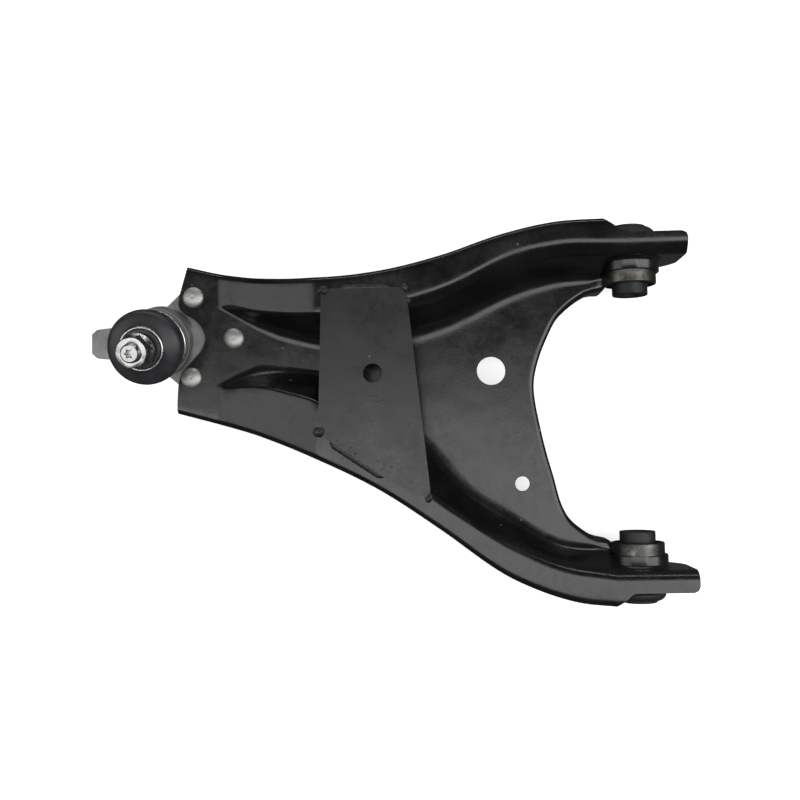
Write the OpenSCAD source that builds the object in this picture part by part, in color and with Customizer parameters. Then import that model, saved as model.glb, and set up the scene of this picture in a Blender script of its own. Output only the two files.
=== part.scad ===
// Lower control arm: a pressed steel A-arm with a welded cover plate, two rubber bushes
// on one pivot axis and a riveted ball joint.  Millimetres.
// +X points from the ball joint to the bushes, +Y along the pivot axis (forward), +Z up.
// The origin is the centre of the front bush bore.

/* [Overall] */
// Distance between the centres of the two bushes
bush_spacing = 196; // [160:1:240]
// Distance from the pivot axis to the ball-joint axis
arm_length = 309; // [260:1:370]
// How far behind the front bush the ball joint sits
ball_offset = 45; // [35:1:60]
// Height of the box rims above the web
rim_height = 27; // [20:0.5:34]

/* [Pressed sheet] */
// Thickness of the steel sheet
sheet = 3.2; // [2.5:0.1:4.5]
// Outer bend of the rim, seen as a height
rim_bend = 4; // [3:0.5:6]
// Height from the web to the ledge below the rim
ledge_height = 22; // [15:0.5:25]
// How far the outer wall of the nose hangs below the web
nose_lip = 9; // [6:0.5:14]
// Height of the lower edge of the outer walls along the legs
leg_lip = 4; // [0:0.5:10]
// Depth of the turned-down edge of the fork
fork_lip = 10; // [6:0.5:14]
// Width of the bend of the fork edge
fork_bend = 3.4; // [3:0.1:5]
// Large hole in the web, diameter
large_hole = 18.5; // [12:0.5:22]
// Small hole in the web, diameter
small_hole = 9.4; // [6:0.2:12]
// Radius of the ears that carry the bushes
ear_radius = 33; // [28:0.5:36]
// Reach of the ear walls beyond the pivot axis
ear_reach = 32; // [26:0.5:36]
// Width of the rim beyond the bush, measured from the ear wall
ear_rim = 13.5; // [10:0.5:16]

/* [Cover plate] */
// Thickness of the cover plate
plate_thickness = 3; // [2:0.5:5]
// Hole in the cover plate, diameter
plate_hole = 12; // [8:0.5:14]
// Radius of the weld beads
weld_radius = 2.4; // [1.5:0.1:3.5]

/* [Bushes] */
// Bore of the inner tube
bush_bore = 12; // [10:0.5:14]
// Outer diameter of the inner tube
tube_diameter = 22.5; // [18:0.5:25]
// Length of the inner tube
tube_length = 45; // [38:0.5:50]
// Outer diameter of the outer sleeve
sleeve_diameter = 33.5; // [30:0.5:36]
// Wall of the outer sleeve
sleeve_wall = 1.8; // [1.2:0.1:2.5]
// Length of the outer sleeve
sleeve_length = 31; // [26:0.5:34]
// Outer diameter of the collar drawn out of the ear
collar_diameter = 37.5; // [36:0.5:40]
// Height of the collar
collar_height = 8; // [6:0.5:12]
// How far the rubber stop stands out of the outer end of the sleeve
stop_height = 5.5; // [4:0.5:6.5]

/* [Ball joint] */
// Diameter of the ball
ball_diameter = 26; // [22:0.5:28]
// Height of the ball centre over the web
ball_height = 7.8; // [5:0.1:10]
// Running clearance between ball and seat, on the radius
ball_clearance = 0.05; // [0.02:0.01:0.1]
// Outside radius of the housing
housing_radius = 22; // [21:0.5:24]
// Radius of the bore of the housing
housing_bore = 16; // [15:0.5:17.5]
// Thickness of the riveting flange
flange_thickness = 4; // [3:0.5:6]
// Diameter of the rivet shanks
rivet_shank = 8; // [6:0.5:9]
// Diameter of the rivet heads
rivet_head = 14.2; // [12:0.2:15]
// Height of the rivet heads
rivet_head_height = 3.2; // [2:0.2:4]
// Length of the stud above the ball centre
stud_length = 57; // [53:0.5:62]
// Thread diameter of the stud
stud_thread = 12; // [10:1:14]
// Width across the flats of the nut
nut_flats = 18; // [16:0.5:19]
// Height of the nut with its flange
nut_height = 12.5; // [10:0.5:14]
// Flange diameter of the nut
nut_flange = 22; // [20:0.5:25]
// Lean of the joint and its resting stud towards the rear bush, degrees
stud_lean_rear = 13; // [0:0.5:15]
// Lean of the joint and its resting stud towards the bushes, degrees
stud_lean_in = 1; // [-5:0.5:5]
// Largest radius of the dust boot
boot_radius = 23.9; // [23:0.1:26]
// Wall of the dust boot
boot_wall = 2.2; // [1.8:0.1:3]
// Wire thickness of the boot rings
ring_wire = 1.8; // [1:0.1:2]

/* [Hidden] */
$fn = 72;

tube_r = tube_diameter / 2;
sleeve_r = sleeve_diameter / 2;
sleeve_bore_r = sleeve_r - sleeve_wall;
collar_r = collar_diameter / 2;
ball_r = ball_diameter / 2;
housing_top = 12;
seat_lip = ball_r / 2;
cavity_floor = -ball_r - 2.5;
flange_top = -sheet;
flange_bottom = -sheet - flange_thickness;
nut_base = stud_length - nut_height - 3.5;
taper_start = 20;
taper_wide = 7.9;
taper_end = nut_base - 2;
taper_narrow = 6.7;

// The arm was drawn for a spacing of 196, a length of 309 and an offset of 45; these two
// functions stretch only the straight middle, so the ends keep their shape for other sizes.
function fit_y(x, y) =
    let (near = min(1, max(0, (x + 240) / 90)),
         part = min(1, max(0, (-25 - y) / 146)))
    y - (bush_spacing - 196) * near * part + (45 - ball_offset) * (1 - near);
function fit_x(x) = x - (arm_length - 309) * min(1, max(0, (-40 - x) / 200));
function at(x, y) = [fit_x(x), fit_y(x, y)];

// Smooth curve through a short list of [position, value] rows.
function row_of(x, rows, i = 0) =
    i >= len(rows) - 2 || x <= rows[i + 1][0] ? i : row_of(x, rows, i + 1);
function rise(rows, i) =
    let (a = max(0, i - 1), b = min(len(rows) - 1, i + 1))
    (rows[b][1] - rows[a][1]) / (rows[b][0] - rows[a][0]);
function curve(x, rows) =
    let (i = row_of(x, rows),
         w = rows[i + 1][0] - rows[i][0],
         u = (x - rows[i][0]) / w,
         p = rows[i][1],
         q = rows[i + 1][1],
         m = rise(rows, i) * w,
         n = rise(rows, i + 1) * w)
    (2 * u * u * u - 3 * u * u + 1) * p + (u * u * u - 2 * u * u + u) * m
    + (3 * u * u - 2 * u * u * u) * q + (u * u * u - u * u) * n;

// Plan lines of the pressing, as [x, y].
front_out = [[-302, 8], [-270, 0], [-240, -6], [-200, -9], [-160, -5.7], [-122, 2.8],
    [-84, 15], [-50, 22], [-17, 23.3]];
front_ridge = [[-302, -16], [-270, -19.5], [-240, -28], [-200, -33], [-170, -31], [-143, -25.5],
    [-116, -17], [-78, 1], [-47, 7.4], [-17, 7.2]];
front_ledge = [[-302, -18], [-270, -21.5], [-240, -30], [-200, -35], [-170, -34], [-143, -30],
    [-116, -22.5], [-78, -5.7], [-47, 0.4], [-17, 0.8]];
front_foot = [[-302, -20], [-270, -23.6], [-240, -36.2], [-200, -47.3], [-170, -47.5],
    [-143, -44], [-116, -36], [-78, -18.6], [-47, -10], [-17, -9]];
rear_out = [[-302, -91.5], [-270, -100.4], [-240, -109.4], [-200, -125.5], [-162, -144.8],
    [-125, -169.5], [-89, -195.7], [-65, -207.6], [-41, -215.2], [-17, -218]];
rear_ridge = [[-302, -79], [-270, -77.5], [-243, -77], [-220, -82], [-200, -88.5], [-165, -113],
    [-132, -146], [-108, -163.5], [-82, -180], [-50, -194], [-17, -199.5]];
rear_ledge = [[-302, -77], [-270, -76], [-243, -75.3], [-220, -79], [-200, -86], [-165, -109],
    [-132, -142], [-108, -160], [-82, -176.3], [-50, -190], [-17, -196]];
rear_foot = [[-302, -75], [-270, -73.8], [-243, -66.8], [-220, -67.2], [-200, -70.5],
    [-165, -92], [-134, -118], [-108, -148], [-82, -165.2], [-50, -183], [-17, -186.2]];
// Rise of the rims from the flat nose, as [x, share of the rim height].
ramp = [[-302, 0], [-269, 0], [-262, 0.12], [-215, 0.82], [-203, 1], [-17, 1]];
// Edge of the fork between the legs, as [y, x].
fork = [[-179.5, -17], [-176, -29], [-163, -43.9], [-137, -52.1], [-111, -58.5], [-82, -63],
    [-65.7, -60.6], [-46.3, -52.9], [-33.4, -44.8], [-20.7, -27.6], [-18.5, -17]];

apex_y = -82;
centre_line = [[-302, -43], [-110, apex_y], [-60, apex_y]];

function rim_z(x) = rim_height * min(1, max(0, lookup(x, ramp)));
function lip_z(x) = min(rim_z(x) - rim_bend - 4,
    lookup(x, [[-302, -nose_lip], [-260, -nose_lip], [-190, leg_lip - 3], [-17, leg_lip]]));
function put(x, y, z) = [fit_x(x), fit_y(x, y), z];
function fork_slope(y) = (curve(y + 0.4, fork) - curve(y - 0.4, fork)) / 0.8;

// One ring of the sheet: outer wall, rim, ledge, foot, web and inner edge, then back below.
// x is the place of the rim, b the place of the inner edge along the centre line or the fork.
function ring(side, x, b, on_fork, out, ridge, ledge, foot) =
    let (s = side,
         z = rim_z(x),
         k = z / rim_height,
         zl = z * ledge_height / rim_height,
         o = curve(x, out),
         r = curve(x, ridge),
         l = curve(x, ledge),
         f = curve(x, foot),
         lip = lip_z(x),
         t = sheet,
         d = on_fork ? fork_slope(b) : 0,
         n = [-1, d] / norm([1, d]),
         e = on_fork ? [curve(b, fork), b] : [b, lookup(b, centre_line)])
    concat(
        [put(x, o, lip), put(x, o, z - rim_bend), put(x, o - s * rim_bend * 0.8, z),
         put(x, r, z), put(x, l, zl), put(x, f, 0)],
        on_fork ?
        [put(e[0] + n[0] * fork_bend, e[1] + n[1] * fork_bend, 0),
         put(e[0], e[1], -fork_bend),
         put(e[0], e[1], -fork_lip),
         put(e[0] + n[0] * t, e[1] + n[1] * t, -fork_lip),
         put(e[0] + n[0] * t, e[1] + n[1] * t, -fork_bend - 1.2),
         put(e[0] + n[0] * (fork_bend + 1), e[1] + n[1] * (fork_bend + 1), -t)] :
        [put(e[0], e[1], 0), put(e[0], e[1], -t / 3), put(e[0], e[1], -t * 2 / 3),
         put(e[0], e[1], -t), put(e[0], e[1] + s * 0.6, -t), put(e[0], e[1] + s * 1.2, -t)],
        [put(x, f + s * 0.6 * t * k, -t),
         put(x, l + s * 0.95 * t * k, zl - t * (1 - 0.55 * k)),
         put(x, r + s * 0.5 * t * k, z - t),
         put(x, o - s * (rim_bend * 0.8 + 0.5), z - t),
         put(x, o - s * t, z - rim_bend - 0.8),
         put(x, o - s * t, lip)]);

// [rim place, inner-edge place, inner edge lies on the fork]
front_rows = [[-302, -302, false], [-285, -285, false], [-269, -269, false],
    [-262, -260, false], [-250, -247, false], [-238, -233, false], [-226, -219, false],
    [-215, -206, false], [-203, -193, false], [-188, -178, false], [-170, -160, false],
    [-152, -140, false], [-138, -120, false], [-125, -96, false], [-114, -67.8, false],
    [-108, -82, true], [-98, -74, true], [-88, -66, true], [-78, -58, true], [-67, -50, true],
    [-57, -42.5, true], [-47, -36, true], [-38, -30, true], [-31, -25, true], [-24, -21, true],
    [-17, -18.8, true]];
rear_rows = [[-302, -302, false], [-285, -285, false], [-269, -269, false],
    [-262, -260, false], [-250, -247, false], [-238, -233, false], [-226, -219, false],
    [-215, -206, false], [-203, -193, false], [-188, -178, false], [-170, -160, false],
    [-155, -140, false], [-144, -120, false], [-134, -96, false], [-126, -67.8, false],
    [-120, -82, true], [-110, -94, true], [-99, -106, true], [-88, -118, true],
    [-77, -131, true], [-66, -143, true], [-56, -153, true], [-46, -162, true],
    [-36, -170, true], [-26, -176, true], [-17, -179.3, true]];

// Both halves in one closed skin.  Up to the apex of the fork they share the points of the
// centre line, and at the apex the whole turned-down edge; from there the legs part.
module sheet_skin() {
    count = 18;
    apex = 15;
    last = len(front_rows) - 1;
    rings = concat(
        [for (r = front_rows)
            ring(1, r[0], r[1], r[2], front_out, front_ridge, front_ledge, front_foot)],
        [for (r = rear_rows)
            ring(-1, r[0], r[1], r[2], rear_out, rear_ridge, rear_ledge, rear_foot)]);
    points = [for (r = rings) each r];
    function id(half, k, j) =
        let (own = (half * (last + 1) + k) * count + j)
        k < apex && j >= 6 && j <= 8 ? k * count + 6 :
        k < apex && j >= 9 && j <= 11 ? k * count + 9 :
        k == apex && j >= 6 && j <= 11 ? k * count + j : own;
    strips = [for (half = [0, 1]) for (k = [0 : last - 1]) for (j = [0 : count - 1])
        if (k >= apex || j <= 5 || j >= 11)
        let (n = (j + 1) % count, a = id(half, k, j), b = id(half, k, n),
             c = id(half, k + 1, n), d = id(half, k + 1, j))
        each (half == 1 ? [[a, b, d], [b, c, d]] : [[b, a, d], [c, b, d]])];
    nose_end = [for (half = [0, 1]) for (j = [0 : 5])
        let (a = id(half, 0, j), b = id(half, 0, j + 1), c = id(half, 0, 16 - j),
             d = id(half, 0, 17 - j))
        each (half == 1 ? [[a, d, c], [a, c, b]] : [[a, c, d], [a, b, c]])];
    leg_ends = [for (half = [0, 1]) for (j = [0 : 7])
        let (a = id(half, last, j), b = id(half, last, j + 1), c = id(half, last, 16 - j),
             d = id(half, last, 17 - j))
        each (half == 1 ? [[a, c, d], [a, b, c]] : [[a, d, c], [a, c, b]])];
    polyhedron(points, concat(strips, nose_end, leg_ends), convexity = 8);
}

// The axis of the joint leans; it crosses the web at joint_foot and meets the ball above it.
joint_foot = [-arm_length, -ball_offset];
ball_place = [joint_foot[0], joint_foot[1] - ball_height * tan(stud_lean_rear), ball_height];
// A housing wider than 22 pushes the rivets outwards.
function off_housing(p) = p + (p - joint_foot) / norm(p - joint_foot)
    * max(0, housing_radius - 22);
rivet_places = [for (p = [at(-286, -16), at(-259, -44), at(-287.5, -69.5)]) off_housing(p)];

// Everything of a bush is drawn about its own centre with +Y towards the outer side.
module at_front() {
    children();
}
module at_rear() {
    translate([0, -bush_spacing, 0]) mirror([0, 1, 0]) children();
}
module along_y(from, to, r) {
    translate([0, from, 0]) rotate([-90, 0, 0]) cylinder(h = to - from, r = r);
}
module at_stud() {
    translate(ball_place) rotate([stud_lean_rear, stud_lean_in, 0]) children();
}

// The bent end of a leg: ear wall, ledge and rim, before the bush hole is cut.
module ear_shape(ridge, out) {
    t = sheet;
    outline = [[0, -ear_radius - 1], [0, ledge_height], [ridge, rim_height], [out, rim_height],
        [out, rim_height - t], [ridge + t / 2, rim_height - t], [t, ledge_height - t / 2],
        [t, -ear_radius - 1]];
    intersection() {
        translate([-19, 0, 0]) rotate([90, 0, 90]) linear_extrude(ear_reach + 19) polygon(outline);
        union() {
            translate([-20, -1, 0]) cube([ear_reach + 30, out + 2, rim_height + 1]);
            along_y(-1, out + 2, ear_radius);
        }
    }
    along_y(-collar_height, t, collar_r);
}
// What is cut away round a bush: the hole itself and the notch in the rim beside it.
module ear_cuts(out) {
    along_y(-collar_height - 1, 12, sleeve_r);
    along_y(-collar_height - 16, -collar_height, sleeve_r + 1.3);
    translate([0, 0, -20]) linear_extrude(rim_height + 25) polygon([[-21, out + 0.1],
        [-10, 16.8], [-8.5, ear_rim], [ear_reach - 2, ear_rim], [ear_reach, ear_rim - 2],
        [ear_reach + 9, ear_rim - 2], [ear_reach + 9, out + 9], [-21, out + 9]]);
}

// Pressed from one blank: web, box rims, ears with their collars and the flat nose.
module arm_stamping() color([0.06, 0.06, 0.065]) difference() {
    union() {
        sheet_skin();
        at_front() ear_shape(7.2, 23.3);
        at_rear() ear_shape(3.5, 22);
    }
    at_front() ear_cuts(23.3);
    at_rear() ear_cuts(22);
    translate([0, 0, -30]) linear_extrude(60) polygon([at(-310, 12), at(-288, 12),
        at(-290, 4), at(-294.3, -11), at(-296.3, -19), at(-295, -24), at(-291.6, -27.5),
        at(-285.6, -30.3), at(-281, -35), at(-278.3, -41.2), at(-278.3, -46), at(-281.2, -52.5),
        at(-288.6, -60), at(-294, -66), at(-296.2, -73), at(-297, -86), at(-297, -110),
        at(-310, -110)]);
    translate([at(-90.5, -69)[0], at(-90.5, -69)[1], -15]) cylinder(h = 30, d = large_hole);
    translate([at(-72, -142.5)[0], at(-72, -142.5)[1], -15]) cylinder(h = 30, d = small_hole);
    for (p = rivet_places) translate([p[0], p[1], -15]) cylinder(h = 30, d = rivet_shank);
    translate([joint_foot[0], joint_foot[1], -8]) cylinder(h = 16, r = housing_radius + 2);
}

plate_points = [at(-197, -17.6), at(-146, -17.8), at(-143, -25), at(-130.8, -144.5),
    at(-131.6, -148.2), at(-135, -149.6), at(-157, -138), at(-200, -108.6)];
module plate_solid(lift) {
    translate([0, 0, rim_height]) linear_extrude(plate_thickness + lift) polygon(plate_points);
}
// Flat plate that closes the box over both rims.
module cover_plate() color([0.09, 0.09, 0.095]) difference() {
    plate_solid(0);
    translate([at(-165.4, -71.4)[0], at(-165.4, -71.4)[1], 0])
        cylinder(h = rim_height + 20, d = plate_hole);
}

module above_rim() {
    difference() {
        children();
        translate([-arm_length, -bush_spacing - 60, 0]) cube([arm_length, 300, rim_height]);
        plate_solid(0);
    }
}
// Blobs of weld at the corners of the plate.
module tack_welds() color([0.2, 0.2, 0.2]) above_rim() {
    for (p = [at(-195.5, -18), at(-144.6, -17.6), at(-142.8, -26.5), at(-200, -107.5),
            at(-131.6, -149.6)])
        translate([p[0], p[1], rim_height + 1.2]) sphere(r = weld_radius * 1.25);
}
module bead(p, q) {
    length = norm(q - p);
    r = weld_radius;
    translate([p[0], p[1], rim_height + 0.8]) rotate([0, 90, atan2(q[1] - p[1], q[0] - p[0])])
        rotate_extrude() polygon([[0, -r * 0.7], [r * 0.6, -r * 0.5], [r, 0], [r, length],
            [r * 0.6, length + r * 0.5], [0, length + r * 0.7]]);
}
// Fillet welds along the front edge and along the slanting rear edge of the plate.
module seam_welds() color([0.2, 0.2, 0.2]) above_rim() {
    bead(at(-186, -17.2), at(-154, -17.3));
    bead(at(-193, -114), at(-160, -136.5));
}

// Flange, cup and neck are one forging, riveted under the nose.
module ball_joint_housing() color([0.62, 0.62, 0.62]) difference() {
    union() {
        translate([0, 0, flange_bottom]) linear_extrude(flange_thickness) {
            for (p = rivet_places) hull() {
                translate(p) circle(r = 9);
                translate(joint_foot) circle(r = 14);
            }
            hull() for (p = rivet_places) translate(p) circle(r = 6);
            hull() {
                translate(joint_foot) circle(r = 14);
                translate(joint_foot - [43, 9.5]) square([6, 19]);
                translate(joint_foot - [46.5, 6.5]) square([6, 13]);
            }
        }
        translate([joint_foot[0], joint_foot[1] + 0.5, flange_top - 0.1])
            cylinder(h = 1.9, r1 = housing_radius + 1.8, r2 = housing_radius);
        at_stud() {
            translate([0, 0, cavity_floor - 4]) cylinder(h = 3, r1 = housing_radius - 3,
                r2 = housing_radius);
            translate([0, 0, cavity_floor - 1]) cylinder(h = 9 - cavity_floor + 1,
                r = housing_radius);
            translate([0, 0, cavity_floor - 1]) cylinder(h = 1.5 - cavity_floor,
                r = housing_radius + 0.5);
            cylinder(h = housing_top, r = housing_radius - 2);
        }
    }
    at_stud() {
        translate([0, 0, cavity_floor - 2.5]) cylinder(h = 8 - cavity_floor + 2.5,
            r = housing_bore);
        translate([0, 0, cavity_floor - 5]) cylinder(h = 5, r = housing_bore - 2.5);
        translate([0, 0, 5]) cylinder(h = housing_top - 5 + 0.01, r1 = 10.5, r2 = 15.2);
        translate([0, 0, housing_top]) cylinder(h = 2, r = 15.2);
        translate([0, 0, 5.2]) difference() {
            cylinder(h = 1.4, r = housing_radius + 3);
            cylinder(h = 1.4, r = housing_radius - 0.7);
        }
    }
    for (p = rivet_places) translate([p[0], p[1], -15]) cylinder(h = 30, d = rivet_shank);
}

// Three rivets: domed head on the web, upset tail under the flange.
module ball_joint_rivets() color([0.75, 0.75, 0.75]) {
    head_r = rivet_head / 2;
    dome_r = (head_r * head_r + rivet_head_height * rivet_head_height) / 2 / rivet_head_height;
    for (p = rivet_places) translate([p[0], p[1], 0]) {
        intersection() {
            translate([0, 0, rivet_head_height - dome_r]) sphere(r = dome_r);
            cylinder(h = rivet_head_height + 1, r = head_r);
        }
        translate([0, 0, flange_bottom - 1]) cylinder(h = 1 - flange_bottom + 1,
            d = rivet_shank);
        translate([0, 0, flange_bottom - 3]) cylinder(h = 3, r1 = head_r - 2, r2 = head_r - 0.8);
    }
}

module housing_cap() color([0.5, 0.5, 0.5]) at_stud()
    translate([0, 0, cavity_floor - 2.5]) cylinder(h = 2.5, r = housing_bore);

// Two plastic shells hold the ball.
module ball_seat_lower() color([0.85, 0.82, 0.7]) at_stud() difference() {
    translate([0, 0, cavity_floor]) cylinder(h = -cavity_floor, r = housing_bore);
    sphere(r = ball_r + ball_clearance);
}
module ball_seat_upper() color([0.85, 0.82, 0.7]) at_stud() difference() {
    cylinder(h = 8, r = housing_bore);
    sphere(r = ball_r + ball_clearance);
    translate([0, 0, 5]) cylinder(h = housing_top - 5, r1 = 10.5, r2 = 15.2);
}

function taper_r(w) = taper_wide + (taper_narrow - taper_wide) * (w - taper_start)
    / (taper_end - taper_start);

// Ball, neck, taper and thread, turned in one piece.
module ball_stud() color([0.7, 0.7, 0.7]) at_stud() difference() {
    union() {
        sphere(r = ball_r);
        cylinder(h = taper_start - 3, r = 6.8);
        translate([0, 0, taper_start - 3]) cylinder(h = 3, r1 = 6.8, r2 = taper_wide);
        translate([0, 0, taper_start]) cylinder(h = taper_end - taper_start, r1 = taper_wide,
            r2 = taper_narrow);
        translate([0, 0, taper_end]) cylinder(h = 1, r1 = taper_narrow, r2 = stud_thread / 2);
        translate([0, 0, taper_end]) cylinder(h = stud_length - taper_end - 1,
            d = stud_thread);
        translate([0, 0, stud_length - 1]) cylinder(h = 1, r1 = stud_thread / 2,
            r2 = stud_thread / 2 - 1);
    }
    translate([0, 0, stud_length - 5]) cylinder(h = 6, r = 2.4);
    for (i = [0 : 5]) rotate([0, 0, i * 60]) translate([2.3, 0, stud_length - 5])
        cylinder(h = 6, r = 0.8);
}

// Hexagon nut with a flange, run on to the end of the thread.
module stud_nut() color([0.78, 0.78, 0.78]) at_stud() difference() {
    union() {
        intersection() {
            translate([0, 0, nut_base + 1]) rotate([0, 0, 12])
                cylinder(h = nut_height - 1, r = nut_flats / 2 / cos(30), $fn = 6);
            translate([0, 0, nut_base]) cylinder(h = nut_height + 4,
                r1 = nut_flats / 2 + 7, r2 = nut_flats / 2 - 2);
        }
        translate([0, 0, nut_base]) cylinder(h = 1.6, d = nut_flange);
        translate([0, 0, nut_base + 1.6]) cylinder(h = 2, r1 = nut_flange / 2,
            r2 = nut_flats / 2);
    }
    translate([0, 0, nut_base - 1]) cylinder(h = nut_height + 2, d = stud_thread);
}

lip_low = 9;
lip_high = 12.6;
neck_low = 29;
neck_high = 34.5;
lower_ring_r = housing_radius - 0.1;
upper_ring_r = 13.3;
// A housing wider than 22 widens the boot too.
boot_r = max(boot_radius, housing_radius + 1.9);
// Outer line of the boot, as [height over the ball centre, radius].
boot_line = [[lip_low + 2, housing_radius - 0.4], [lip_high, housing_radius + 0.4],
    [15, boot_r - 1.1], [18, boot_r - 0.4], [21, boot_r], [24, boot_r],
    [26.5, boot_r - 0.9], [28, boot_r - 2.9], [29.5, boot_r - 6.9],
    [31, boot_r - 9.7], [33, 12.6]];
function boot_inside(k) =
    let (a = boot_line[max(k - 1, 0)], b = boot_line[min(k + 1, len(boot_line) - 1)],
         d = (b - a) / norm(b - a), wall = k < 2 ? 1.2 : boot_wall)
    boot_line[k] + wall * [d[1], -d[0]];

// A rubber skirt from the neck of the housing to the taper of the stud.
module boot_wall_skin() {
    steps = 40;
    m = len(boot_line);
    n = m * steps;
    outer = [for (c = boot_line) for (i = [0 : steps - 1])
        [c[1] * cos(i * 9), c[1] * sin(i * 9), c[0]]];
    inner = [for (k = [0 : m - 1]) let (c = boot_inside(k)) for (i = [0 : steps - 1])
        [c[1] * cos(i * 9), c[1] * sin(i * 9), c[0]]];
    walls = [for (k = [0 : m - 2]) for (i = [0 : steps - 1])
        let (j = (i + 1) % steps, a = k * steps + i, b = k * steps + j)
        each [[a, a + steps, b], [b, a + steps, b + steps],
            [n + a, n + b, n + a + steps], [n + b, n + b + steps, n + a + steps]]];
    ends = [for (i = [0 : steps - 1]) let (j = (i + 1) % steps, z = (m - 1) * steps)
        each [[i, j, n + i], [j, n + j, n + i],
            [z + i, n + z + i, z + j], [z + j, n + z + i, n + z + j]]];
    polyhedron(concat(outer, inner), concat(walls, ends), convexity = 6);
}
module dust_boot() color([0.13, 0.13, 0.14]) at_stud() difference() {
    union() {
        boot_wall_skin();
        difference() {
            translate([0, 0, lip_low]) cylinder(h = lip_high - lip_low, r = housing_radius - 0.2);
            cylinder(h = 30, r = housing_radius - 2);
        }
        difference() {
            translate([0, 0, neck_low]) cylinder(h = neck_high - neck_low, r1 = 13.4, r2 = 12.4);
            translate([0, 0, taper_start]) cylinder(h = taper_end - taper_start,
                r1 = taper_wide, r2 = taper_narrow);
        }
    }
    lower_ring_shape();
    upper_ring_shape();
}
module lower_ring_shape() {
    translate([0, 0, lip_low + 1.7]) rotate_extrude() translate([lower_ring_r, 0])
        circle(d = ring_wire, $fn = 24);
}
module upper_ring_shape() {
    translate([0, 0, neck_high - 1.8]) rotate_extrude() translate([upper_ring_r, 0])
        circle(d = ring_wire, $fn = 24);
}
module boot_lower_ring() color([0.8, 0.8, 0.8]) at_stud() lower_ring_shape();
module boot_upper_ring() color([0.8, 0.8, 0.8]) at_stud() upper_ring_shape();

module bush_sleeve() color([0.55, 0.55, 0.54]) difference() {
    along_y(-sleeve_length / 2, sleeve_length / 2, sleeve_r);
    along_y(-sleeve_length, sleeve_length, sleeve_bore_r);
}
// Rubber bonded between tube and sleeve, with a stop on the outer side.
module bush_rubber() color([0.1, 0.1, 0.1]) {
    half = sleeve_length / 2;
    rotate([-90, 0, 0]) rotate_extrude() polygon([[tube_r, -half + 1], [sleeve_bore_r, -half + 2],
        [sleeve_bore_r, half], [sleeve_r - 0.4, half], [sleeve_r, half + stop_height * 0.25],
        [sleeve_r - 1, half + stop_height * 0.65], [sleeve_r - 3.4, half + stop_height],
        [tube_r, half + stop_height]]);
}
module bush_inner_tube() color([0.3, 0.3, 0.3]) {
    half = tube_length / 2;
    rotate([-90, 0, 0]) rotate_extrude() polygon([[bush_bore / 2 + 0.6, -half],
        [tube_r - 0.6, -half], [tube_r, -half + 0.6], [tube_r, half - 0.6], [tube_r - 0.6, half],
        [bush_bore / 2 + 0.6, half], [bush_bore / 2, half - 0.6], [bush_bore / 2, -half + 0.6]]);
}
module front_bush_sleeve() at_front() bush_sleeve();
module front_bush_rubber() at_front() bush_rubber();
module front_bush_inner_tube() at_front() bush_inner_tube();
module rear_bush_sleeve() at_rear() bush_sleeve();
module rear_bush_rubber() at_rear() bush_rubber();
module rear_bush_inner_tube() at_rear() bush_inner_tube();

arm_stamping();
cover_plate();
tack_welds();
seam_welds();
ball_joint_rivets();
ball_joint_housing();
housing_cap();
ball_seat_upper();
ball_seat_lower();
ball_stud();
stud_nut();
dust_boot();
boot_lower_ring();
boot_upper_ring();
front_bush_sleeve();
front_bush_rubber();
front_bush_inner_tube();
rear_bush_sleeve();
rear_bush_rubber();
rear_bush_inner_tube();
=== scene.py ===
import math

import bpy
from mathutils import Matrix, Vector, noise


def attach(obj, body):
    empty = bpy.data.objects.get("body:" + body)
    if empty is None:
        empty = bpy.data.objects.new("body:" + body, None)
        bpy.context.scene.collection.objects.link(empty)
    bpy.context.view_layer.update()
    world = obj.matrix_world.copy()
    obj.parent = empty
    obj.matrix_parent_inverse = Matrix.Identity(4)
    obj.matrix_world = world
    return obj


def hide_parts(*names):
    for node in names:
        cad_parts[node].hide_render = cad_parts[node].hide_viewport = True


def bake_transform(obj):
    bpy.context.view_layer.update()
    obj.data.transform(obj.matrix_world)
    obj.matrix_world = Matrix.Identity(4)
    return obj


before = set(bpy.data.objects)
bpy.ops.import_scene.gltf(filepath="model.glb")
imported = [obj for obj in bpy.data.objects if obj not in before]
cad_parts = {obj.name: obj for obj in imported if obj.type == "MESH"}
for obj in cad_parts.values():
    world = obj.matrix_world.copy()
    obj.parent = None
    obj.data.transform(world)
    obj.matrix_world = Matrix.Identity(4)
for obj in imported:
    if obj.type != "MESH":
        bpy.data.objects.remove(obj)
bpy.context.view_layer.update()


# ---------------------------------------------------------------------------
# Camera. It looks down on the arm from a little over 600 mm, nearly square to
# the web, from a point above the middle of the fork.

bpy.ops.object.camera_add(
    location=(-0.11826, -0.12313, 0.62715),
    rotation=(math.radians(3.2543), math.radians(2.9630), math.radians(-1.0246)),
)
camera = bpy.context.object
camera.data.sensor_width = 36
camera.data.lens = 43.47
camera.data.clip_start = 0.01
bpy.context.scene.camera = camera


# ---------------------------------------------------------------------------
# Floor and studio light. A white sweep under the arm and soft panels round a
# dark front: black lacquer shows little but what it mirrors, so one panel hangs
# over the rear half, two stand left and right, and the front overhead stays dark.

def linear(code):
    """An sRGB hex colour as linear RGBA."""
    parts = [int(code[i:i + 2], 16) / 255 for i in (1, 3, 5)]
    return [c / 12.92 if c <= 0.04045 else ((c + 0.055) / 1.055) ** 2.4 for c in parts] + [1.0]


bpy.ops.mesh.primitive_grid_add(x_subdivisions=8, y_subdivisions=8, size=6, location=(0, 0, -0.0345))
floor = bpy.context.object
floor.name = "floor"
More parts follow.
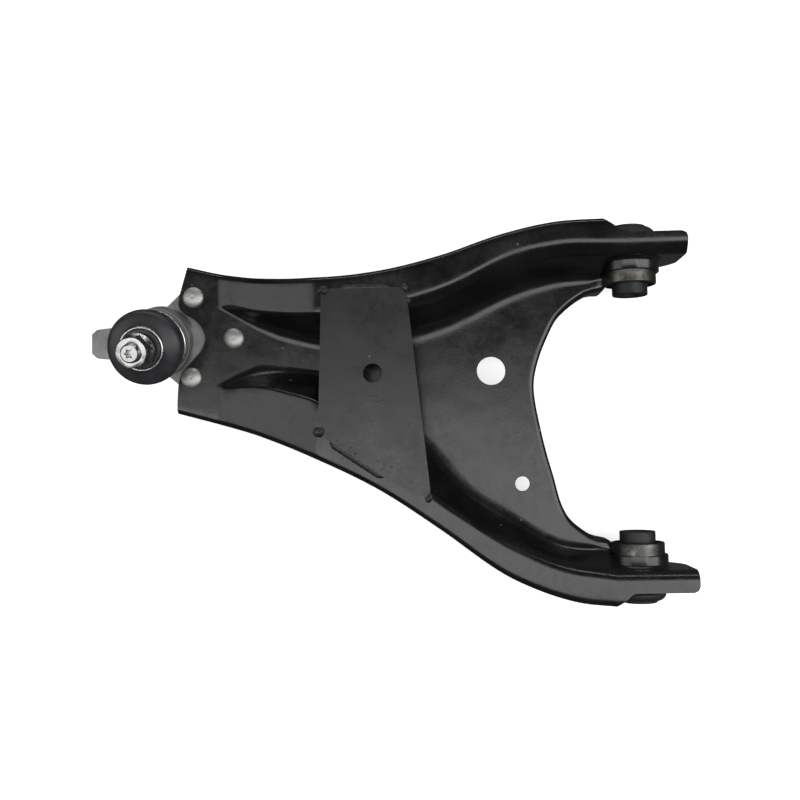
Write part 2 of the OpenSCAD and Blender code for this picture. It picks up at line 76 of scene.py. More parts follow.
# lacquer would mirror the floor in the outer walls, which are to stay dark
floor.visible_glossy = False
bpy.ops.object.transform_apply(location=True, rotation=True, scale=True)
paper = bpy.data.materials.new("white_paper_sweep")
paper.use_nodes = True
paper_shader = paper.node_tree.nodes["Principled BSDF"]
paper_shader.inputs["Base Color"].default_value = linear("#f4f4f4")
paper_shader.inputs["Roughness"].default_value = 0.9
paper_shader.inputs["Emission Color"].default_value = linear("#ffffff")
paper_shader.inputs["Emission Strength"].default_value = 0.62
floor.data.materials.append(paper)

world = bpy.data.worlds.new("dim_studio")
world.use_nodes = True
world.node_tree.nodes["Background"].inputs["Color"].default_value = linear("#ffffff")
world.node_tree.nodes["Background"].inputs["Strength"].default_value = 0.07
bpy.context.scene.world = world
bpy.context.scene.view_settings.view_transform = "Standard"

for name, place, aim, width, height, power in (
    ("rear_panel", (-0.20, -0.29, 1.25), (-0.20, -0.25, 0), 1.5, 0.58, 7.8),
    ("left_panel", (-1.25, -0.05, 0.85), (-0.25, -0.08, 0), 0.9, 0.9, 4.2),
    ("right_panel", (0.95, -0.10, 0.95), (0.0, -0.10, 0), 0.7, 1.3, 10),
    ("front_strip", (-0.10, 1.15, 0.42), (-0.10, 0.0, 0), 1.5, 0.16, 4),
):
    light = bpy.data.lights.new(name, "AREA")
    light.shape = "RECTANGLE"
    light.size, light.size_y, light.energy = width, height, power
    lamp = bpy.data.objects.new(name, light)
    lamp.location = place
    lamp.rotation_euler = (Vector(place) - Vector(aim)).to_track_quat("Z", "Y").to_euler()
    bpy.context.collection.objects.link(lamp)


# ---------------------------------------------------------------------------
# The pressed arm. One blank of 3.2 mm deep-drawing steel: flat nose and web,
# box rims with a ledge on their inner side, turned-down outer walls, a fork
# edge turned down between the legs, and an ear with a drawn collar at each end.

def bare():
    """Leaves every object deselected and none in edit mode."""
    if bpy.context.object and bpy.context.object.mode != "OBJECT":
        bpy.ops.object.mode_set(mode="OBJECT")
    bpy.ops.object.select_all(action="DESELECT")


def take(*pieces):
    """Selects these pieces only, the first one active."""
    bare()
    for piece in pieces:
        piece.select_set(True)
    bpy.context.view_layer.objects.active = pieces[0]
    return pieces[0]


def shaded(piece, degrees):
    """Shades a piece smooth, but for edges sharper than this."""
    take(piece)
    bpy.ops.object.shade_smooth_by_angle(angle=math.radians(degrees))


def worked(piece, kind, **settings):
    """Puts one modifier on a piece and applies it."""
    take(piece)
    made = piece.modifiers.new("work", kind)
    for key, value in settings.items():
        setattr(made, key, value)
    bpy.ops.object.modifier_apply(modifier=made.name)
    return piece


def cut(piece, tool, operation="DIFFERENCE"):
    """Takes one solid out of another, or joins it on, and removes the tool."""
    worked(piece, "BOOLEAN", object=tool, operation=operation, solver="MANIFOLD")
    bpy.data.objects.remove(tool)
    return piece


def smooth(rows, x):
    """Height of a smooth curve through [place, height] rows."""
    i = 0
    while i < len(rows) - 2 and x > rows[i + 1][0]:
        i += 1
    x = min(x, rows[-1][0])

    def slope(k):
        a, b = max(0, k - 1), min(len(rows) - 1, k + 1)
        return (rows[b][1] - rows[a][1]) / (rows[b][0] - rows[a][0])

    w = rows[i + 1][0] - rows[i][0]
    u = (x - rows[i][0]) / w
    return ((2 * u ** 3 - 3 * u ** 2 + 1) * rows[i][1] + (u ** 3 - 2 * u ** 2 + u) * slope(i) * w
            + (3 * u ** 2 - 2 * u ** 3) * rows[i + 1][1] + (u ** 3 - u ** 2) * slope(i + 1) * w)


def straight(rows, x):
    """Height of a broken line through [place, height] rows."""
    for (x0, y0), (x1, y1) in zip(rows, rows[1:]):
        if x <= x1:
            return y0 + (y1 - y0) * (x - x0) / (x1 - x0)
    return rows[-1][1]


def ease(x, start, end):
    """0 before start, 1 after end, and an even S between."""
    t = max(0.0, min(1.0, (x - start) / (end - start)))
    return t * t * (3 - 2 * t)


SHEET, RIM, LEDGE, EAR = 3.2, 27.0, 22.0, 33.0
APEX_Y, FORK_BEND, FORK_LIP = -82.0, 3.4, 10.0
BUSH_CENTRES = ((Vector((0, 0, 0)), 1), (Vector((0, -196, 0)), -1))
ramp_rows = [(-302, 0), (-274, 0), (-268, 0.01), (-262, 0.1), (-255, 0.215), (-215, 0.82),
             (-208, 0.92), (-201, 0.99), (-195, 1), (-17, 1)]
fork_rows = [(-179.5, -17), (-176, -29), (-163, -43.9), (-137, -52.1), (-111, -58.5),
             (-82, -63), (-65.7, -60.6), (-46.3, -52.9), (-33.4, -44.8), (-20.7, -27.6),
             (-18.5, -17)]
centre_rows = [(-302, -43), (-110, APEX_Y), (-60, APEX_Y)]
front_rows = dict(
    ear=(0, 1), edge_ends=(APEX_Y, -18.7),
    out=[(-302, 8), (-270, 0), (-240, -6), (-200, -9), (-160, -5.7), (-122, 2.8), (-84, 15),
         (-50, 22), (-17, 23.3)],
    ridge=[(-302, -16), (-270, -19.5), (-240, -28), (-200, -33), (-170, -31), (-143, -25.5),
           (-116, -17), (-78, 1), (-47, 7.4), (-17, 7.2)],
    ledge=[(-302, -18), (-270, -21.5), (-240, -30), (-200, -35), (-170, -34), (-143, -30),
           (-116, -22.5), (-78, -5.7), (-47, 0.4), (-17, 0.8), (-8, 0)],
    foot=[(-302, -20), (-270, -23.6), (-240, -36.2), (-200, -47.3), (-170, -47.5),
          (-143, -44), (-116, -36), (-78, -18.6), (-47, -10), (-17, -9)],
    stations=[(0, -302), (0.22, -238), (0.38, -188), (0.48, -152), (0.56, -118), (0.6, -112),
              (0.7, -88), (0.8, -62), (0.9, -38), (1, -17)])
rear_rows = dict(
    ear=(-196, -1), edge_ends=(APEX_Y, -179.3),
    out=[(-302, -91.5), (-270, -100.4), (-240, -109.4), (-200, -125.5), (-162, -144.8),
         (-125, -169.5), (-89, -195.7), (-65, -207.6), (-41, -215.2), (-17, -218)],
    ridge=[(-302, -79), (-270, -77.5), (-243, -77), (-220, -82), (-200, -88.5), (-165, -113),
           (-132, -146), (-108, -163.5), (-82, -180), (-50, -194), (-17, -199.5)],
    ledge=[(-302, -77), (-270, -76), (-243, -75.3), (-220, -79), (-200, -86), (-165, -109),
           (-132, -142), (-108, -160), (-82, -176.3), (-50, -190), (-17, -196)],
    foot=[(-302, -75), (-270, -73.8), (-243, -66.8), (-220, -67.2), (-200, -70.5),
          (-165, -92), (-134, -118), (-108, -148), (-82, -165.2), (-50, -183), (-17, -186.2)],
    stations=[(0, -302), (0.22, -238), (0.38, -188), (0.48, -158), (0.56, -128), (0.6, -122),
              (0.7, -97), (0.8, -70), (0.9, -43), (1, -17)])
inner_places = [(0, -302), (0.22, -233), (0.38, -178), (0.48, -143), (0.56, -92), (0.6, -66.4)]


def fork_edge(y, inset=0.0):
    """A point of the fork edge in plan, moved into the web by inset."""
    slope = (smooth(fork_rows, y + 0.4) - smooth(fork_rows, y - 0.4)) / 0.8
    return Vector((smooth(fork_rows, y), y)) + Vector((-1, slope)).normalized() * inset


def bend_line(corners, pulls, counts):
    """Points along a broken line with rounded corners, always the same number of them."""
    legs = [(b - a).length for a, b in zip(corners, corners[1:])]
    points, last = [corners[0]], corners[0]
    for i, corner in enumerate(corners[1:-1], 1):
        pull = min(pulls[i - 1], 0.46 * legs[i - 1], 0.46 * legs[i])
        before = corner.lerp(corners[i - 1], pull / max(legs[i - 1], 1e-6))
        after = corner.lerp(corners[i + 1], pull / max(legs[i], 1e-6))
        run, turn = counts[2 * i - 2], counts[2 * i - 1]
        points += [last.lerp(before, (j + 1) / run) for j in range(run)]
        for j in range(1, turn + 1):
            t = j / turn
            points.append(before * (1 - t) ** 2 + corner * 2 * t * (1 - t) + after * t ** 2)
        last = after
    return points + [last.lerp(corners[-1], (j + 1) / counts[-1]) for j in range(counts[-1])]


def across(rows, u):
    """The sheet's upper side across half the arm, from its outer lip to its inner edge.

    u runs from 0 at the nose by 0.6 at the apex of the fork to 1 beside the bush, and on
    through the ear, where the web turns down until it stands in the plane of the ear."""
    x = smooth(rows["stations"], u) if u <= 1 else -17 + (u - 1) * 49
    rise = max(0.0, min(1.0, smooth(ramp_rows, x)))
    rim = RIM * rise
    out, ridge, ledge, foot = (smooth(rows[k], x) for k in ("out", "ridge", "ledge", "foot"))
    lip = min(rim - 8, straight([(-302, -9), (-260, -9), (-190, 1), (-17, 4)], x))
    if u <= 0.6:
        bx = smooth(inner_places, u)
        inner = Vector((bx, straight(centre_rows, bx), 0))
    else:
        first, last = rows["edge_ends"]
        inner = Vector((*fork_edge(first + (last - first) * min(1, (u - 0.6) / 0.4), FORK_BEND), 0))
    corners = [Vector((x, out, lip)), Vector((x, out, rim)), Vector((x, ridge, rim)),
               Vector((x, ledge, LEDGE * rise)), Vector((x, foot, 0)), inner]
    turned = ease(x, -18, -6)
    if u > 1:
        inner.x = x
        corners[4] = corners[4].lerp(Vector((x, rows["ear"][0], 2)), turned)
        corners[5] = corners[5].lerp(Vector((x, rows["ear"][0], -8)), turned)
    return bend_line(corners, (4.6, 3.0, 3.0, 7.0), (5, 6, 6, 4, 2, 4, 8, 6, 16))


def turned_down(rows, u):
    """The turned-down edge of the fork from its bend to its lip; at the ear, the ear's foot."""
    first, last = rows["edge_ends"]
    y = first + (last - first) * min(1, (u - 0.6) / 0.4)
    x = fork_edge(y).x if u <= 1 else -17 + (u - 1) * 49
    arc = math.sqrt(EAR ** 2 - max(x, -17) ** 2)
    depth = FORK_LIP + (arc - FORK_LIP) * ease(x, -34, -8)
    line = []
    for k in range(17):
        if k <= 6:
            turn = math.pi / 2 * k / 6
            inset, down = FORK_BEND * (1 - math.sin(turn)), FORK_BEND * (1 - math.cos(turn))
        else:
            inset, down = 0, FORK_BEND + (depth - FORK_BEND) * (k - 6) / 10
        spot = fork_edge(y, inset)
        here = Vector((spot.x if u <= 1 else x, spot.y, -down))
        if u > 1:
            here = here.lerp(Vector((x, rows["ear"][0], -8 - (arc - 8) * k / 16)), ease(x, -18, -6))
        line.append(here)
    return line


def lay_sheet(name, lines):
    """A grid primitive whose crossings are pressed to the given lines, in millimetres."""
    bare()
    bpy.ops.mesh.primitive_grid_add(x_subdivisions=len(lines) - 1, y_subdivisions=len(lines[0]) - 1,
                                    size=1)
    sheet = bpy.context.object
    sheet.name = sheet.data.name = name
    crossings = sorted(sheet.data.vertices, key=lambda v: (round(v.co.x, 5), round(v.co.y, 5)))
    for k, crossing in enumerate(crossings):
        crossing.co = lines[k // len(lines[0])][k % len(lines[0])] / 1000
    return sheet


def joined(pieces, gap=0.00002):
    """Joins pieces into the first one and welds the edges that meet."""
    take(*pieces)
    bpy.ops.object.join()
    bpy.ops.object.mode_set(mode="EDIT")
    bpy.ops.mesh.select_all(action="SELECT")
    bpy.ops.mesh.remove_doubles(threshold=gap)
    bpy.ops.mesh.dissolve_degenerate(threshold=gap)
    bpy.ops.mesh.normals_make_consistent(inside=False)
    bpy.ops.object.mode_set(mode="OBJECT")
    return pieces[0]


def prism(name, outline, low, high):
    """A disc primitive drawn to an outline in plan and extruded; millimetres."""
    bare()
    bpy.ops.mesh.primitive_circle_add(vertices=len(outline), radius=1, fill_type="NGON")
    block = bpy.context.object
    block.name = block.data.name = name
    ordered = sorted(block.data.vertices, key=lambda v: math.atan2(v.co.y, v.co.x))
    for vertex, spot in zip(ordered, outline):
        vertex.co = Vector((spot[0], spot[1], low)) / 1000
    bpy.ops.object.mode_set(mode="EDIT")
    bpy.ops.mesh.select_all(action="SELECT")
    bpy.ops.mesh.extrude_region_move(TRANSFORM_OT_translate={"value": (0, 0, (high - low) / 1000)})
    bpy.ops.mesh.select_all(action="SELECT")
    bpy.ops.mesh.normals_make_consistent(inside=False)
    bpy.ops.object.mode_set(mode="OBJECT")
    return block


def drill(radius, start, end, vertices=64):
    """A plain round cutter between two points, in millimetres."""
    bare()
    start, end = Vector(start), Vector(end)
    bpy.ops.mesh.primitive_cylinder_add(vertices=vertices, radius=radius / 1000,
                                        depth=(end - start).length / 1000)
    tool = bpy.context.object
    turn = (end - start).to_track_quat("Z", "Y").to_matrix().to_4x4()
    tool.data.transform(Matrix.Translation((start + end) / 2000) @ turn)
    return tool


def rounded(outline, radii, steps=5):
    """An outline whose corners are rounded to the given pulls."""
    points = []
    for i, (corner, pull) in enumerate(zip(outline, radii)):
        corner = Vector(corner)
        if not pull:
            points.append(corner)
            continue
        before = corner + (Vector(outline[i - 1]) - corner).normalized() * pull
        after = corner + (Vector(outline[(i + 1) % len(outline)]) - corner).normalized() * pull
        points += [before * (1 - t) ** 2 + corner * 2 * t * (1 - t) + after * t * t
                   for t in [j / steps for j in range(steps + 1)]]
    return points


def ringed(name, profile, segments, place, axis, closed=False):
    """A circle primitive drawn out ring by ring along [height, radius] steps; millimetres.

    The first and last rings are closed with a face, or joined to each other for a tube."""
    bare()
    bpy.ops.mesh.primitive_circle_add(vertices=segments, radius=profile[0][1] / 1000,
                                      location=(0, 0, 0))
    piece = bpy.context.object
    piece.name = piece.data.name = name
    piece.data.transform(Matrix.Translation((0, 0, profile[0][0] / 1000)))
    bpy.ops.object.mode_set(mode="EDIT")
    bpy.ops.mesh.select_all(action="SELECT")
    if not closed:
        bpy.ops.mesh.edge_face_add()
        bpy.ops.mesh.select_all(action="SELECT")
    for (h0, r0), (h1, r1) in zip(profile, profile[1:]):
        if closed:
            bpy.ops.mesh.extrude_edges_move(TRANSFORM_OT_translate={"value": (0, 0, (h1 - h0) / 1000)})
        else:
            bpy.ops.mesh.extrude_region_move(TRANSFORM_OT_translate={"value": (0, 0, (h1 - h0) / 1000)})
        bpy.ops.transform.resize(value=(r1 / r0, r1 / r0, 1), center_override=(0, 0, h1 / 1000))
    if closed:
        bpy.ops.mesh.select_all(action="DESELECT")
        bpy.ops.mesh.select_non_manifold(extend=False)
        bpy.ops.mesh.bridge_edge_loops()
    bpy.ops.mesh.select_all(action="SELECT")
    bpy.ops.mesh.normals_make_consistent(inside=False)
    bpy.ops.object.mode_set(mode="OBJECT")
    stand = Vector(axis).to_track_quat("Z", "Y").to_matrix().to_4x4()
    piece.data.transform(Matrix.Translation(Vector(place) / 1000) @ stand)
    return piece


steps = [0.6 * k / 84 for k in range(85)] + [0.6 + 0.4 * k / 56 for k in range(1, 57)]
ear_steps = [1 + k / 40 for k in range(1, 41)]
front = lay_sheet("front_half", [across(front_rows, u) for u in steps + ear_steps])
rear = lay_sheet("rear_half", [across(rear_rows, u) for u in steps + ear_steps])
edge_steps = steps[84:] + ear_steps
fork = lay_sheet("fork_lip", [turned_down(front_rows, u) for u in reversed(edge_steps)]
                 + [turned_down(rear_rows, u) for u in edge_steps[1:]])
arm = joined([front, rear, fork])
arm.name = arm.data.name = "pressed_arm"
if sum(face.normal.z * face.area for face in arm.data.polygons) < 0:
    arm.data.flip_normals()
worked(arm, "SOLIDIFY", thickness=SHEET / 1000, offset=-1, use_even_offset=True)

cut(arm, prism("nose_trim", rounded(
    [(-320, 20), (-289, 20), (-290, 4), (-294.3, -11), (-296.3, -19), (-295, -24), (-291.6, -27.5),
     (-285.6, -30.3), (-281, -35), (-278.3, -41.2), (-278.3, -46), (-281.2, -52.5), (-288.6, -60),
     (-294, -66), (-296.2, -73), (-297, -86), (-297, -110), (-320, -110)],
    [0, 0, 4, 4, 2.5, 2, 2, 3, 3, 2.3, 2.3, 3, 4, 4, 3, 4, 0, 0]), -30, 30))
for centre, side in BUSH_CENTRES:
    y = centre.y
    notch = [(-21, 26), (-19.6, 22.6), (-11.5, 17), (-8.5, 13.5), (29.5, 13.5), (32, 11),
             (32, -30), (42, -30), (42, 30), (-21, 30)]
    notch = rounded([(a, y + side * b) for a, b in notch], [0, 2, 4, 3, 2.5, 2.5, 0, 0, 0, 0])
    cut(arm, prism("ear_notch", notch, -40, 40))
    cut(arm, drill(17.0, (0, y - side * 15.8, 0), (0, y + side * 12.5, 0), 96))
    cut(arm, drill(13.5, (0, y - side * 30, 0), (0, y - side * 15.2, 0), 96))
    collar = ringed("collar", [(3.0, 16.77), (3.0, 21.5), (0.3, 21.5), (-0.05, 21.2), (-0.5, 20.2),
                               (-1.3, 19.3), (-2.4, 18.75), (-7.5, 18.75), (-8, 18.35), (-8, 16.9),
                               (-7.8, 16.77)],
                    96, (0, y, 0), (0, side, 0), closed=True)
    cut(arm, collar, "UNION")
for x, y, radius in ((-90.5, -69, 9.25), (-72, -142.5, 4.7)):
    cut(arm, drill(radius, (x, y, -12), (x, y, 8)))
RIVETS = ((-286, -16), (-259, -44), (-287.5, -69.5))
for x, y in RIVETS:
    cut(arm, drill(4.02, (x, y, -12), (x, y, 8), 32))
shaded(arm, 32)
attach(arm, "arm")
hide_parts("arm_stamping")


def add(material, kind, sockets=None, **settings):
    """Adds one node: settings fill its properties, sockets its inputs with values or links."""
    made = material.node_tree.nodes.new(kind)
    for key, value in settings.items():
        setattr(made, key, value)
    for key, value in (sockets or {}).items():
        if isinstance(value, bpy.types.NodeSocket):
            material.node_tree.links.new(value, made.inputs[key])
        else:
            made.inputs[key].default_value = value
    return made


def finish_named(name, **values):
    """A material and its shader, with the plain values set on the shader's own sockets."""
    material = bpy.data.materials.new(name)
    material.use_nodes = True
    surface = material.node_tree.nodes["Principled BSDF"]
    for key, value in values.items():
        surface.inputs[key.replace("_", " ")].default_value = value
    return material, surface


def stops(ramp, *places):
    """Sets a colour ramp's stops from (place, sRGB hex or grey value) pairs."""
    row = ramp.color_ramp.elements
    while len(row) < len(places):
        row.new(0.5)
    for stop, (place, tone) in zip(row, places):
        stop.position = place
        stop.color = linear(tone) if isinstance(tone, str) else (tone, tone, tone, 1)
    return ramp.outputs["Color"]


def dressed(piece, material):
    """Gives every face of a piece the one material."""
    piece.data.materials.clear()
    piece.data.materials.append(material)
    piece.data.polygons.foreach_set("material_index", [0] * len(piece.data.polygons))
    return piece


def feed(surface, socket, source):
    """Leads an output into a socket of a material's shader."""
    surface.id_data.links.new(source, surface.inputs[socket])


def fitted(piece, finish, body, node):
    """Gives a piece its finish, hangs it on its body and hides the imported solid it stands in for."""
    dressed(piece, finish)
    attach(piece, body)
    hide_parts(node)


# Cathodic dip coat: a thin black epoxy lacquer over pressed steel.  It is glossy but not
# flat, follows the faint skin of the sheet, and holds a little dust that dried in.
def dip_coat(name, low, high, gloss, matt, dust):
    material, surface = finish_named(name, IOR=1.52)
    place = add(material, "ShaderNodeTexCoord").outputs["Object"]
    # film thickness drifts over 20 to 40 mm as the lacquer runs off
    drift = add(material, "ShaderNodeTexNoise", {"Vector": place, "Scale": 34.0, "Detail": 4.0,
                                                 "Roughness": 0.55})
    film = stops(add(material, "ShaderNodeValToRGB", {"Fac": drift.outputs["Fac"]}),
                 (0.3, low), (0.72, high))
    # dust: specks of 0.4 to 1 mm, here and there
    grit = add(material, "ShaderNodeTexVoronoi", {"Vector": place, "Scale": 150.0})
    pick = add(material, "ShaderNodeSeparateColor", {"Color": grit.outputs["Color"]})
    rare = add(material, "ShaderNodeMath", {0: pick.outputs["Red"], 1: 1 - dust},
               operation="GREATER_THAN")
    near = add(material, "ShaderNodeMapRange", {"Value": grit.outputs["Distance"], "From Min": 0.16,
                                                "From Max": 0.05})
    speck = add(material, "ShaderNodeMath", {0: rare.outputs[0], 1: near.outputs[0]},
                operation="MULTIPLY")
    colour = add(material, "ShaderNodeMix", {"Factor": speck.outputs[0], "A": film,
                                             "B": linear("#5a5955")}, data_type="RGBA")
    feed(surface, "Base Color", colour.outputs["Result"])
    # fine scuffs, a few mm long, roughen the gloss
    scuff = add(material, "ShaderNodeTexNoise", {"Vector": place, "Scale": 210.0, "Detail": 6.0,
                                                 "Roughness": 0.7, "Distortion": 0.6})
    mixed = add(material, "ShaderNodeMath", {0: scuff.outputs["Fac"], 1: drift.outputs["Fac"]},
                operation="MULTIPLY")
    dull = add(material, "ShaderNodeMapRange", {"Value": mixed.outputs[0], "From Min": 0.12,
                                                "From Max": 0.42, "To Min": gloss, "To Max": matt})
    softer = add(material, "ShaderNodeMath", {0: speck.outputs[0], 1: 0.4, 2: dull.outputs[0]},
                 operation="MULTIPLY_ADD")
    feed(surface, "Roughness", softer.outputs[0])
    # orange peel of 1.5 mm over a slow wave of the sheet itself
    peel = add(material, "ShaderNodeTexNoise", {"Vector": place, "Scale": 640.0, "Detail": 2.0})
    wave = add(material, "ShaderNodeTexNoise", {"Vector": place, "Scale": 48.0, "Detail": 1.0})
    skin = add(material, "ShaderNodeBump", {"Height": wave.outputs["Fac"], "Distance": 0.0006,
                                            "Strength": 0.35})
    rough = add(material, "ShaderNodeBump", {"Height": peel.outputs["Fac"], "Distance": 0.00006,
                                             "Strength": 0.5, "Normal": skin.outputs[0]})
    proud = add(material, "ShaderNodeBump", {"Height": speck.outputs[0], "Distance": 0.0002,
                                             "Strength": 0.6, "Normal": rough.outputs[0]})
    feed(surface, "Normal", proud.outputs[0])
    return material


dressed(arm, dip_coat("black_dip_coat", "#09090a", "#151516", 0.16, 0.34, 0.05))

# ---------------------------------------------------------------------------
# The cover plate: 3 mm sheet sheared to a slanting outline with one punched hole,
# laid over both rims and dip-coated with the arm, a little duller and dustier.
plate = prism("cover_plate_blank", rounded(
    [(-197, -17.6), (-146, -17.8), (-143, -25), (-130.8, -144.5), (-131.6, -148.2), (-135, -149.6),
     (-157, -138), (-200, -108.6)], [1.2, 2.5, 2.5, 1.6, 1.2, 2, 8, 1.2]), 27, 30)
cut(plate, drill(6, (-165.4, -71.4, 20), (-165.4, -71.4, 36)))
# sheared edges roll over by about a third of a millimetre
worked(plate, "BEVEL", width=0.00035, segments=2, limit_method="ANGLE", angle_limit=math.radians(50))
shaded(plate, 20)
fitted(plate, dip_coat("black_dip_coat_on_plate", "#0c0d10", "#1c1c1e", 0.24, 0.46, 0.11),
       "arm", "cover_plate")


# ---------------------------------------------------------------------------
# Welds under the coat: five tacked corners and two seams, mild-steel wire run in by
# hand.  The beads are lumpy and rippled, and spatter lies along the slanting edge.
weld_coat, weld_surface = finish_named("coated_weld_metal", IOR=1.5)
place = add(weld_coat, "ShaderNodeTexCoord").outputs["Object"]
# scale and slag, in grains of about 0.7 mm
grain = add(weld_coat, "ShaderNodeTexNoise", {"Vector": place, "Scale": 1400.0, "Detail": 5.0,
                                              "Roughness": 0.7})
feed(weld_surface, "Base Color",
     stops(add(weld_coat, "ShaderNodeValToRGB", {"Fac": grain.outputs["Fac"]}),
           (0.42, "#111112"), (0.6, "#2b2b2a"), (0.72, "#5f5e5a")))
feed(weld_surface, "Roughness",
     add(weld_coat, "ShaderNodeMapRange", {"Value": grain.outputs["Fac"], "From Min": 0.3,
                                           "From Max": 0.7, "To Min": 0.22, "To Max": 0.5}).outputs[0])
feed(weld_surface, "Normal",
     add(weld_coat, "ShaderNodeBump", {"Height": grain.outputs["Fac"], "Distance": 0.0003,
                                       "Strength": 0.7}).outputs[0])


def roughened(piece, size, depth):
    """Lumps a weld by moving its points along their normals, the same way every time."""
    for vertex in piece.data.vertices:
        lump = noise.noise(vertex.co / size) + 0.5 * noise.noise(vertex.co * 2.3 / size)
        vertex.co += vertex.normal * lump * depth
    return piece


def blob(name, spot, radius, flat, turn):
    """One weld blob: a ball primitive, flattened where it wets the steel."""
    bare()
    bpy.ops.mesh.primitive_ico_sphere_add(subdivisions=4, radius=radius / 1000)
    piece = bpy.context.object
    piece.name = piece.data.name = name
    piece.data.transform(Matrix.Translation(Vector(spot) / 1000) @ Matrix.Rotation(turn, 4, "Z")
                         @ Matrix.Diagonal((1.1, 0.86, flat, 1)))
    return piece


tacks = []
for k, (x, y, radius) in enumerate(((-195.6, -18.6, 3.6), (-144.6, -17.9, 2.7), (-142.9, -26.3, 2.2),
                                    (-199.2, -107.4, 3.8), (-131.7, -149.4, 2.7))):
    tacks.append(roughened(blob("tack", (x, y, 28.7), radius, 0.8, 1.1 * k), 0.0016, 0.0004))
tacks = joined(tacks, 0.0000001)
tacks.name = tacks.data.name = "tacked_corners"

seams = []
for k, (start, end) in enumerate((((-186, -17.2), (-154, -17.3)), ((-193, -114), (-160, -136.5)))):
    run = Vector((*end, 27.8)) - Vector((*start, 27.8))
    length, rings = run.length, 150
    rows = []
    for j in range(rings + 1):
        h = length * j / rings
        body = min(1, math.sin(math.pi * min(1, (h + 0.25) / 4.2, ) / 2),
                   math.sin(math.pi * min(1, (length - h + 0.25) / 4.2) / 2))
        # each ripple is one step of the torch, about 1.5 mm
        rows.append((h, 2.25 * body * (1 + 0.07 * abs(math.sin(math.pi * h / 1.5)))))
    bead = ringed("seam", rows, 24, (*start, 27.8), run.normalized())
    seams.append(roughened(bead, 0.0022, 0.00022))
# spatter: frozen drops of 0.5 to 1.4 mm beside the slanting seam and the front one
for k in range(26):
    along, off = (k * 0.618) % 1, (k * 0.414) % 1
    x = -190 + 48 * along if k % 4 else -190 + 40 * along
    y = (-116.5 - 31 * along + 3 + 9 * off ** 2) if k % 4 else -19.6 - 9 * off
    seams.append(blob("drop", (x, y, 30.0), 0.28 + 0.42 * ((k * 0.732) % 1) ** 2, 0.7, k))
seams = joined(seams, 0.0000001)
seams.name = seams.data.name = "seam_beads"
for piece, name in ((tacks, "tack_welds"), (seams, "seam_welds")):
    shaded(piece, 60)
    fitted(piece, weld_coat, "arm", name)

# ---------------------------------------------------------------------------
# Three rivets hold the ball joint: zinc-plated steel, hot-set, with a low dome above,
# a dimple left by the punch, and an upset tail below the flange.
rivet_zinc, rivet_surface = finish_named("zinc_plated_rivet", Metallic=1.0)
place = add(rivet_zinc, "ShaderNodeTexCoord").outputs["Object"]
# hammer skin: shallow marks of about 1.5 mm under a fine grain of 0.3 mm
marks = add(rivet_zinc, "ShaderNodeTexVoronoi", {"Vector": place, "Scale": 620.0,
                                                 "Smoothness": 0.8}, feature="SMOOTH_F1")
grain = add(rivet_zinc, "ShaderNodeTexNoise", {"Vector": place, "Scale": 2600.0, "Detail": 4.0,
                                               "Roughness": 0.65})
feed(rivet_surface, "Base Color",
     stops(add(rivet_zinc, "ShaderNodeValToRGB", {"Fac": grain.outputs["Fac"]}),
           (0.3, "#9b9b98"), (0.66, "#c0c0bc")))
feed(rivet_surface, "Roughness",
     add(rivet_zinc, "ShaderNodeMapRange", {"Value": grain.outputs["Fac"], "From Min": 0.3,
                                            "From Max": 0.7, "To Min": 0.42, "To Max": 0.6}).outputs[0])
dents = add(rivet_zinc, "ShaderNodeBump", {"Height": marks.outputs["Distance"],
                                           "Distance": 0.00012, "Strength": 0.6})
feed(rivet_surface, "Normal",
     add(rivet_zinc, "ShaderNodeBump", {"Height": grain.outputs["Fac"], "Distance": 0.00006,
                                        "Strength": 0.6, "Normal": dents.outputs[0]}).outputs[0])

dome = [(7.1 * math.sin(a), 3.2 * math.cos(a)) for a in [math.pi / 2 * k / 16 for k in range(17)]]
rivet_line = ([(-10.2, 3.9), (-10.15, 4.9), (-9.9, 5.6), (-9.3, 6.0), (-8.2, 5.7), (-7.3, 5.3),
               (-7.2, 5.1), (-7.2, 4.0), (0.0, 4.0), (0.0, 6.85), (0.12, 7.05)]
              + [(h, r) for r, h in reversed(dome[4:16])])
# the punch leaves a dimple in the middle of the dome
rivet_line += [(3.19, 0.95), (3.14, 0.7), (3.06, 0.45), (3.04, 0.2)]
rivet_line = [row for row in rivet_line if row[1] > 0.15]
rivet_line = [row for k, row in enumerate(rivet_line) if k == 0 or row != rivet_line[k - 1]]
first_rivet = ringed("set_rivet", rivet_line, 56, (0, 0, 0), (0, 0, 1))
shaded(first_rivet, 35)
rivets = []
for k, (x, y) in enumerate(RIVETS):
    rivet = first_rivet if k == 2 else bpy.data.objects.new("set_rivet", first_rivet.data.copy())
    if k < 2:
        bpy.context.collection.objects.link(rivet)
    rivets.append((rivet, x, y))
for rivet, x, y in rivets:
    # no two heads sit quite square
    rivet.data.transform(Matrix.Translation((x / 1000, y / 1000, 0))
                         @ Matrix.Rotation(0.7 * x, 4, "Z"))
rivets = joined([rivet for rivet, x, y in rivets], 0.0000001)
rivets.name = rivets.data.name = "joint_rivets"
fitted(rivets, rivet_zinc, "arm", "ball_joint_rivets")


# ---------------------------------------------------------------------------
# The ball joint housing: a forging with a flange under the nose, a cup for the ball
# and a short tab on the outer side, shot-blasted and zinc-flaked a light grey.
forging, forging_surface = finish_named("blasted_zinc_flake_forging", Metallic=0.75)
place = add(forging, "ShaderNodeTexCoord").outputs["Object"]
